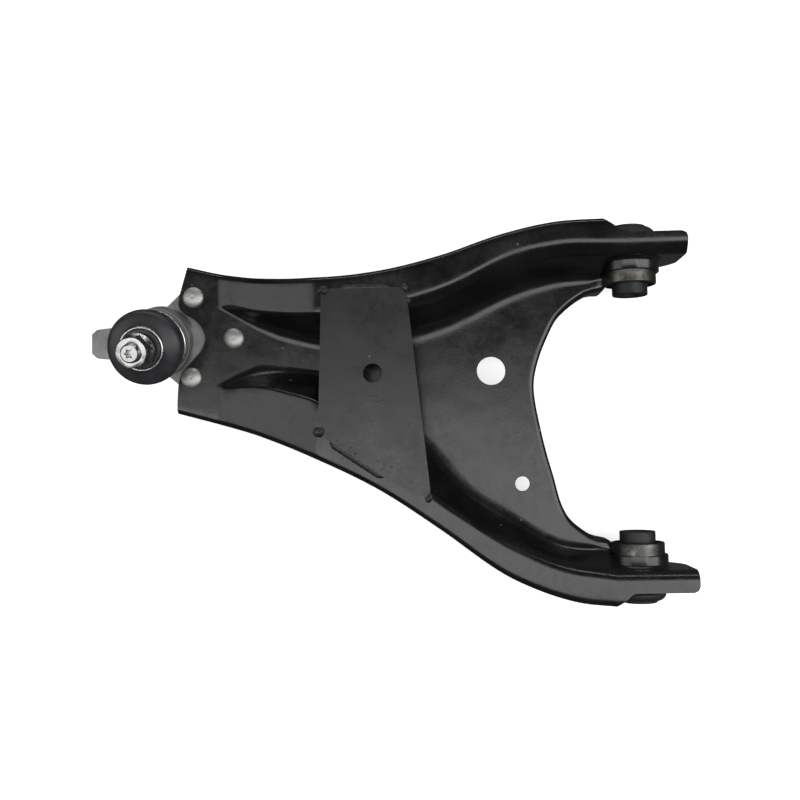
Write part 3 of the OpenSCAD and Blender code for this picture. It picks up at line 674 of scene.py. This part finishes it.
# blasting leaves pits of 0.4 mm; the flake coat clouds over 10 mm
pits = add(forging, "ShaderNodeTexNoise", {"Vector": place, "Scale": 2400.0, "Detail": 3.0,
                                           "Roughness": 0.6})
cloud = add(forging, "ShaderNodeTexNoise", {"Vector": place, "Scale": 95.0, "Detail": 4.0})
tone = add(forging, "ShaderNodeMath", {0: pits.outputs["Fac"], 1: cloud.outputs["Fac"]},
           operation="ADD")
half = add(forging, "ShaderNodeMath", {0: tone.outputs[0], 1: 0.5}, operation="MULTIPLY")
feed(forging_surface, "Base Color",
     stops(add(forging, "ShaderNodeValToRGB", {"Fac": half.outputs[0]}),
           (0.34, "#6d6e6c"), (0.5, "#8b8c8a"), (0.64, "#a3a4a1")))
feed(forging_surface, "Roughness",
     add(forging, "ShaderNodeMapRange", {"Value": cloud.outputs["Fac"], "From Min": 0.3,
                                         "From Max": 0.7, "To Min": 0.42, "To Max": 0.6}).outputs[0])
feed(forging_surface, "Normal",
     add(forging, "ShaderNodeBump", {"Height": pits.outputs["Fac"], "Distance": 0.00012,
                                     "Strength": 0.7}).outputs[0])


def worked_copy(name, of_node, bevel, angle=28, flat=1.0):
    """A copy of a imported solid, merged into plain faces and given worked edges."""
    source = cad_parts[of_node]
    piece = bpy.data.objects.new(name, source.data.copy())
    bpy.context.collection.objects.link(piece)
    take(piece)
    bpy.ops.object.mode_set(mode="EDIT")
    bpy.ops.mesh.select_all(action="SELECT")
    bpy.ops.mesh.remove_doubles(threshold=0.00001)
    bpy.ops.mesh.dissolve_limited(angle_limit=math.radians(flat))
    bpy.ops.object.mode_set(mode="OBJECT")
    worked(piece, "BEVEL", width=bevel / 1000, segments=3, limit_method="ANGLE",
           angle_limit=math.radians(angle), use_clamp_overlap=True)
    bpy.ops.object.shade_smooth_by_angle(angle=math.radians(angle))
    return piece


housing = worked_copy("joint_forging", "ball_joint_housing", 0.7)
fitted(housing, forging, "arm", "ball_joint_housing")


# ---------------------------------------------------------------------------
# Inside the cup: a pressed-in cap below and two acetal shells round the ball.
cap_steel, cap_surface = finish_named("zinc_flaked_cap", Metallic=0.8)
place = add(cap_steel, "ShaderNodeTexCoord").outputs["Object"]
# a blanked disc under flake coating, with faint clouds of about 6 mm
cloud = add(cap_steel, "ShaderNodeTexNoise", {"Vector": place, "Scale": 160.0, "Detail": 5.0})
feed(cap_surface, "Base Color",
     stops(add(cap_steel, "ShaderNodeValToRGB", {"Fac": cloud.outputs["Fac"]}),
           (0.35, "#6f706e"), (0.65, "#979895")))
feed(cap_surface, "Roughness",
     add(cap_steel, "ShaderNodeMapRange", {"Value": cloud.outputs["Fac"], "To Min": 0.3,
                                           "To Max": 0.6}).outputs[0])
feed(cap_surface, "Normal",
     add(cap_steel, "ShaderNodeBump", {"Height": cloud.outputs["Fac"], "Distance": 0.0002,
                                       "Strength": 0.4}).outputs[0])
BALL = Vector((-309, -46.801, 7.8))
AXIS = Vector((0.017005, -0.224951, 0.974222)).normalized()
cap = ringed("pressed_cap", [(-18.0, 7.0), (-18.0, 13.4), (-17.7, 15.0), (-17.2, 15.6), (-16.6, 15.9),
                             (-15.9, 15.95), (-15.5, 15.6), (-15.5, 8.0)], 72, BALL, AXIS)
shaded(cap, 35)
fitted(cap, cap_steel, "arm", "housing_cap")

acetal, acetal_surface = finish_named("natural_acetal", IOR=1.48)
place = add(acetal, "ShaderNodeTexCoord").outputs["Object"]
# moulded, slightly milky, with flow clouds over 8 mm
cloud = add(acetal, "ShaderNodeTexNoise", {"Vector": place, "Scale": 130.0, "Detail": 3.0})
feed(acetal_surface, "Base Color",
     stops(add(acetal, "ShaderNodeValToRGB", {"Fac": cloud.outputs["Fac"]}),
           (0.3, "#ddd6c2"), (0.7, "#ebe6d8")))
feed(acetal_surface, "Roughness",
     add(acetal, "ShaderNodeMapRange", {"Value": cloud.outputs["Fac"], "To Min": 0.28,
                                        "To Max": 0.42}).outputs[0])
for name in ("ball_seat_upper", "ball_seat_lower"):
    dressed(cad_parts[name], acetal)


# ---------------------------------------------------------------------------
# The ball stud: one turned and ground steel piece with a ball, a taper and a rolled
# thread; a six-lobe recess in its end holds it still while the nut is run on.
stud_steel, stud_surface = finish_named("turned_and_zinced_steel", Metallic=1.0)
place = add(stud_steel, "ShaderNodeTexCoord").outputs["Object"]
# tool marks 0.7 mm apart, coarser than real ones so that they show, read along the axis
lean = (Vector((0, 0, 1)).rotation_difference(AXIS)).to_euler()
along = add(stud_steel, "ShaderNodeMapping", {"Vector": place, "Location": BALL / -1000},
            vector_type="POINT")
turned = add(stud_steel, "ShaderNodeMapping", {"Vector": along.outputs[0], "Rotation": lean,
                                               "Scale": (30.0, 30.0, 1500.0)}, vector_type="POINT")
marks = add(stud_steel, "ShaderNodeTexNoise", {"Vector": turned.outputs[0], "Scale": 1.0,
                                               "Detail": 3.0})
cloud = add(stud_steel, "ShaderNodeTexNoise", {"Vector": place, "Scale": 400.0, "Detail": 4.0})
feed(stud_surface, "Base Color",
     stops(add(stud_steel, "ShaderNodeValToRGB", {"Fac": cloud.outputs["Fac"]}),
           (0.32, "#8f908d"), (0.68, "#b5b5b2")))
feed(stud_surface, "Roughness",
     add(stud_steel, "ShaderNodeMapRange", {"Value": cloud.outputs["Fac"], "From Min": 0.3,
                                            "From Max": 0.7, "To Min": 0.2, "To Max": 0.38}).outputs[0])
feed(stud_surface, "Normal",
     add(stud_steel, "ShaderNodeBump", {"Height": marks.outputs["Fac"], "Distance": 0.00003,
                                        "Strength": 0.5}).outputs[0])

ball_line = [(-12.94 * math.cos(a), max(0.15, 12.94 * math.sin(a)))
             for a in [math.radians(3 + 5.5 * k) for k in range(27)]]
ball_line = [row for row in ball_line if not (row[0] > 0 and row[1] < 6.9)]
stud_line = ball_line + [(11.3, 6.5), (16.4, 6.5), (19.7, 7.82), (20.0, 7.9), (39, 6.7), (39.5, 6.0),
                         (40.0, 5.9)]


def wound(piece, start, end, radius, pitch, depth, place, axis):
    """Winds a thread on the rings between two heights: crests keep the radius, roots go in."""
    stand = Vector(axis).to_track_quat("Z", "Y").to_matrix().to_4x4()
    back = (Matrix.Translation(Vector(place) / 1000) @ stand).inverted()
    for vertex in piece.data.vertices:
        spot = back @ vertex.co * 1000
        if start < spot.z < end and abs(spot.xy.length - radius) < 0.05:
            turn = (spot.z / pitch - math.atan2(spot.y, spot.x) / (2 * math.pi)) % 1
            fade = min(1, (spot.z - start) / pitch, (end - spot.z) / pitch)
            r = radius - depth * fade * abs(2 * turn - 1)
            spot.x, spot.y = spot.x * r / radius, spot.y * r / radius
            vertex.co = back.inverted() @ (spot / 1000)
    return piece


# M12 x 1.25, shown where it stands out of the nut
thread_rows = [(51.5 + 0.125 * k, 5.98) for k in range(34)]
end_piece = [(55.9, 5.7), (56.5, 5.3), (57.0, 4.9), (57.0, 3.4)]
stud = ringed("turned_stud", stud_line + thread_rows + end_piece, 64, BALL, AXIS)
wound(stud, 51.4, 55.8, 5.98, 1.25, 0.62, BALL, AXIS)


def along_stud(h):
    return BALL + AXIS * h


recess = drill(2.4, along_stud(52), along_stud(59), 48)
side = AXIS.orthogonal().normalized()
for k in range(6):
    lobe = side.copy()
    lobe.rotate(Matrix.Rotation(math.radians(60 * k + 12), 3, AXIS))
    cut(recess, drill(0.8, along_stud(52) + lobe * 2.3, along_stud(59) + lobe * 2.3, 20), "UNION")
cut(stud, recess)
worked(stud, "BEVEL", width=0.00012, segments=2, limit_method="ANGLE", angle_limit=math.radians(60))
shaded(stud, 40)
fitted(stud, stud_steel, "stud", "ball_stud")


# ---------------------------------------------------------------------------
# The nut: an M12 hexagon flange nut, cold-formed and bright zinc-plated.
nut_zinc, nut_surface = finish_named("bright_zinc_plate", Metallic=1.0)
place = add(nut_zinc, "ShaderNodeTexCoord").outputs["Object"]
# plating dulls in soft patches of 3 mm, with handling scratches 0.15 mm wide
cloud = add(nut_zinc, "ShaderNodeTexNoise", {"Vector": place, "Scale": 330.0, "Detail": 5.0,
                                             "Distortion": 0.8})
feed(nut_surface, "Base Color",
     stops(add(nut_zinc, "ShaderNodeValToRGB", {"Fac": cloud.outputs["Fac"]}),
           (0.3, "#858787"), (0.7, "#aaacab")))
scratch = add(nut_zinc, "ShaderNodeTexNoise", {
    "Vector": add(nut_zinc, "ShaderNodeMapping", {"Vector": place, "Rotation": (0.4, 0.9, 0.3),
                                                  "Scale": (200.0, 6000.0, 900.0)}).outputs[0],
    "Scale": 1.0, "Detail": 2.0})
feed(nut_surface, "Roughness",
     add(nut_zinc, "ShaderNodeMapRange", {"Value": cloud.outputs["Fac"], "From Min": 0.3,
                                          "From Max": 0.7, "To Min": 0.16, "To Max": 0.34}).outputs[0])
feed(nut_surface, "Normal",
     add(nut_zinc, "ShaderNodeBump", {"Height": scratch.outputs["Fac"], "Distance": 0.00004,
                                      "Strength": 0.35}).outputs[0])
nut = worked_copy("flange_nut", "stud_nut", 0.3, angle=20, flat=2.0)
fitted(nut, nut_zinc, "stud", "stud_nut")

# ---------------------------------------------------------------------------
# The dust boot: moulded black rubber, clipped to the housing and to the stud's taper.
# It is two pieces that meet at its bulge.
boot_rubber, boot_surface = finish_named("moulded_boot_rubber", IOR=1.5)
place = add(boot_rubber, "ShaderNodeTexCoord").outputs["Object"]
# wax bloom greys the skin in clouds of 9 mm; the mould leaves a 0.5 mm grain
bloom = add(boot_rubber, "ShaderNodeTexNoise", {"Vector": place, "Scale": 110.0, "Detail": 5.0,
                                                "Roughness": 0.6})
grain = add(boot_rubber, "ShaderNodeTexNoise", {"Vector": place, "Scale": 2000.0, "Detail": 3.0})
feed(boot_surface, "Base Color",
     stops(add(boot_rubber, "ShaderNodeValToRGB", {"Fac": bloom.outputs["Fac"]}),
           (0.3, "#1e1f22"), (0.7, "#2b2c30")))
feed(boot_surface, "Roughness",
     add(boot_rubber, "ShaderNodeMapRange", {"Value": bloom.outputs["Fac"], "From Min": 0.3,
                                             "From Max": 0.7, "To Min": 0.36, "To Max": 0.5}).outputs[0])
feed(boot_surface, "Normal",
     add(boot_rubber, "ShaderNodeBump", {"Height": grain.outputs["Fac"], "Distance": 0.00005,
                                         "Strength": 0.6}).outputs[0])

WALL, MEET = 2.1, 21.5
# height over the ball centre against outer radius
skirt = [(12.6, 22.35), (14.0, 22.65), (15, 22.8), (18, 23.5), (21.5, 23.9), (24, 23.85), (25.6, 23.4),
         (27, 22.3), (28.2, 20.5), (29.3, 17.6), (30.3, 15.1), (31.2, 13.9), (32.0, 13.2)]


def boot_shell(name, outer, inner):
    """A closed shell between an outer and an inner line of (height, radius) points."""
    shell = ringed(name, outer + inner[::-1], 112, BALL, AXIS, closed=True)
    shaded(shell, 50)
    dressed(shell, boot_rubber)
    return shell


def skirt_line(start, end, count, inset):
    """Points of the skirt between two heights, moved in by the wall."""
    rows = []
    for k in range(count + 1):
        h = start + (end - start) * k / count
        rise_over = (smooth(skirt, h + 0.2) - smooth(skirt, h - 0.2)) / 0.4
        out = Vector((1, -rise_over)).normalized()
        rows.append((h - out.y * inset, smooth(skirt, h) - out.x * inset))
    return rows


# the ring seats in a groove of the lip
lower_outer = [(9.05, 19.4), (9.0, 21.3), (9.3, 21.75), (9.75, 21.4), (10.7, 20.95), (11.6, 21.4),
               (12.0, 21.9)] + skirt_line(12.6, MEET, 22, 0)
lower_inner = [(9.6, 19.0), (11.6, 19.1), (12.9, 19.7)] + skirt_line(15.2, MEET, 14, WALL)
upper_outer = skirt_line(MEET, 32.0, 48, 0) + [(32.4, 12.65), (32.9, 12.4), (33.4, 12.5), (33.9, 12.6),
                                               (34.3, 12.45), (34.5, 12.0), (34.5, 9.0)]
upper_inner = skirt_line(MEET, 27.0, 18, WALL) + [(27.2, 17.0), (28.1, 14.0), (28.8, 11.0),
                                                  (29.2, 9.0), (30.0, 7.6), (31.0, 7.35),
                                                  (34.0, 7.2)]
boot_low = boot_shell("boot_skirt_lower", lower_outer, lower_inner)
boot_high = boot_shell("boot_skirt_upper", upper_outer, upper_inner)
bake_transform(boot_low)
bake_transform(boot_high)
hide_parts("dust_boot")
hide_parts("dust_boot")


# ---------------------------------------------------------------------------
# Two wire rings clamp the boot: galvanised spring steel, each one round section coil.
ring_wire, ring_surface = finish_named("galvanised_spring_wire", Metallic=1.0)
place = add(ring_wire, "ShaderNodeTexCoord").outputs["Object"]
# drawn wire: bright, with duller patches of 2 mm
dull = add(ring_wire, "ShaderNodeTexNoise", {"Vector": place, "Scale": 480.0, "Detail": 4.0})
feed(ring_surface, "Base Color",
     stops(add(ring_wire, "ShaderNodeValToRGB", {"Fac": dull.outputs["Fac"]}),
           (0.3, "#a0a19f"), (0.7, "#cfcfcd")))
feed(ring_surface, "Roughness",
     add(ring_wire, "ShaderNodeMapRange", {"Value": dull.outputs["Fac"], "To Min": 0.15,
                                           "To Max": 0.4}).outputs[0])
for name in ("boot_lower_ring", "boot_upper_ring"):
    dressed(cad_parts[name], ring_wire)

# ---------------------------------------------------------------------------
# Bush sleeves: drawn steel tube, left bare, pressed into the collars of the ears.
# The ends are rolled in a little, and oil and handling leave it patchy.
bare_tube, tube_surface = finish_named("bare_drawn_tube_steel", Metallic=1.0)
place = add(bare_tube, "ShaderNodeTexCoord").outputs["Object"]
# patches of 6 to 12 mm, and draw lines 0.3 mm apart that run round with the press-in
patch = add(bare_tube, "ShaderNodeTexNoise", {"Vector": place, "Scale": 125.0, "Detail": 6.0,
                                              "Roughness": 0.62, "Distortion": 0.4})
lines = add(bare_tube, "ShaderNodeTexNoise", {
    "Vector": add(bare_tube, "ShaderNodeMapping", {"Vector": place,
                                                   "Scale": (60.0, 2600.0, 60.0)}).outputs[0],
    "Scale": 1.0, "Detail": 3.0})
feed(tube_surface, "Base Color",
     stops(add(bare_tube, "ShaderNodeValToRGB", {"Fac": patch.outputs["Fac"]}),
           (0.32, "#3a3936"), (0.5, "#53524e"), (0.68, "#6b6a66")))
worn = add(bare_tube, "ShaderNodeMath", {0: patch.outputs["Fac"], 1: lines.outputs["Fac"]},
           operation="MULTIPLY")
feed(tube_surface, "Roughness",
     add(bare_tube, "ShaderNodeMapRange", {"Value": worn.outputs[0], "From Min": 0.12,
                                           "From Max": 0.38, "To Min": 0.52, "To Max": 0.28}).outputs[0])
feed(tube_surface, "Normal",
     add(bare_tube, "ShaderNodeBump", {"Height": lines.outputs["Fac"], "Distance": 0.00005,
                                       "Strength": 0.5}).outputs[0])

sleeve_line = [(-15.5, 15.2), (-15.5, 16.2), (-15.4, 16.5), (-15.1, 16.7), (-14.7, 16.75),
               (14.7, 16.75), (15.1, 16.7), (15.4, 16.5), (15.5, 16.2), (15.5, 15.2),
               (15.25, 14.95), (-15.25, 14.95)]

# Bush rubber: natural rubber bonded between tube and sleeve, with a stop that swells
# over the sleeve's outer end and a hollow fillet at the inner end.
bond_rubber, bond_surface = finish_named("bonded_natural_rubber", IOR=1.5)
place = add(bond_rubber, "ShaderNodeTexCoord").outputs["Object"]
# dull skin with talc in the low spots, grains of 0.8 mm
talc = add(bond_rubber, "ShaderNodeTexNoise", {"Vector": place, "Scale": 1200.0, "Detail": 5.0,
                                               "Roughness": 0.7})
feed(bond_surface, "Base Color",
     stops(add(bond_rubber, "ShaderNodeValToRGB", {"Fac": talc.outputs["Fac"]}),
           (0.35, "#131313"), (0.7, "#242424")))
feed(bond_surface, "Roughness",
     add(bond_rubber, "ShaderNodeMapRange", {"Value": talc.outputs["Fac"], "To Min": 0.45,
                                             "To Max": 0.75}).outputs[0])
feed(bond_surface, "Normal",
     add(bond_rubber, "ShaderNodeBump", {"Height": talc.outputs["Fac"], "Distance": 0.00012,
                                         "Strength": 0.6}).outputs[0])

rubber_line = [(-14.7, 11.25), (-13.9, 11.8), (-13.4, 12.5), (-13.2, 13.1), (-13.4, 13.8),
               (-13.9, 14.5), (-14.3, 14.95), (15.5, 14.95), (15.55, 16.2), (15.9, 16.55),
               (16.8, 16.75), (18.0, 16.5), (19.1, 15.8), (20.1, 14.7), (20.8, 13.5), (21.0, 12.6),
               (20.85, 12.0), (20.2, 11.6), (19.6, 11.25)]

# Inner tubes: thick steel tube, phosphated dark grey, its ends stamped with radial
# teeth that bite into the mounting brackets.
phosphate, phosphate_surface = finish_named("phosphated_steel", Metallic=0.65)
place = add(phosphate, "ShaderNodeTexCoord").outputs["Object"]
# crystal coat: 0.25 mm sparkle over clouds of 7 mm
crystal = add(phosphate, "ShaderNodeTexNoise", {"Vector": place, "Scale": 3200.0, "Detail": 3.0,
                                                "Roughness": 0.7})
cloud = add(phosphate, "ShaderNodeTexNoise", {"Vector": place, "Scale": 140.0, "Detail": 4.0})
blend = add(phosphate, "ShaderNodeMath", {0: crystal.outputs["Fac"], 1: cloud.outputs["Fac"]},
            operation="MULTIPLY")
feed(phosphate_surface, "Base Color",
     stops(add(phosphate, "ShaderNodeValToRGB", {"Fac": blend.outputs[0]}),
           (0.12, "#1e1f21"), (0.3, "#343537"), (0.42, "#4a4b4d")))
feed(phosphate_surface, "Roughness",
     add(phosphate, "ShaderNodeMapRange", {"Value": cloud.outputs["Fac"], "To Min": 0.38,
                                           "To Max": 0.62}).outputs[0])
feed(phosphate_surface, "Normal",
     add(phosphate, "ShaderNodeBump", {"Height": crystal.outputs["Fac"], "Distance": 0.00005,
                                       "Strength": 0.6}).outputs[0])

tube_line = [(-22.5, 6.7), (-22.5, 8.6), (-22.5, 10.6), (-22.35, 10.95), (-21.9, 11.25), (21.9, 11.25),
             (22.35, 10.95), (22.5, 10.6), (22.5, 8.6), (22.5, 6.7), (21.9, 6.0), (-21.9, 6.0)]
TEETH = 48
for word, (centre, side) in zip(("front", "rear"), BUSH_CENTRES):
    sleeve = ringed(word + "_sleeve", sleeve_line, 112, centre, (0, side, 0), closed=True)
    rubber = ringed(word + "_rubber", rubber_line, 112, centre, (0, side, 0), closed=True)
    tube = ringed(word + "_tube", tube_line, TEETH * 5, centre, (0, side, 0), closed=True)
    for vertex in tube.data.vertices:
        end = abs(vertex.co.y - centre.y / 1000) * 1000
        if end > 22.45:
            # a tooth is 1.3 mm wide at its middle and 0.45 mm deep
            turn = math.atan2(vertex.co.z, vertex.co.x) / (2 * math.pi) * TEETH % 1
            depth = 0.45 * abs(2 * turn - 1) / 1000
            vertex.co.y -= math.copysign(depth, vertex.co.y - centre.y / 1000)
    for piece, finish, node, body, slot, angle in (
            (sleeve, bare_tube, "sleeve", "arm", "sleeve_steel", 30),
            (rubber, bond_rubber, "rubber", "arm", "bush_rubber", 45),
            (tube, phosphate, "inner_tube", word + "_tube", "tube_steel", 24)):
        shaded(piece, angle)
        fitted(piece, finish, body, word + "_bush_" + node)
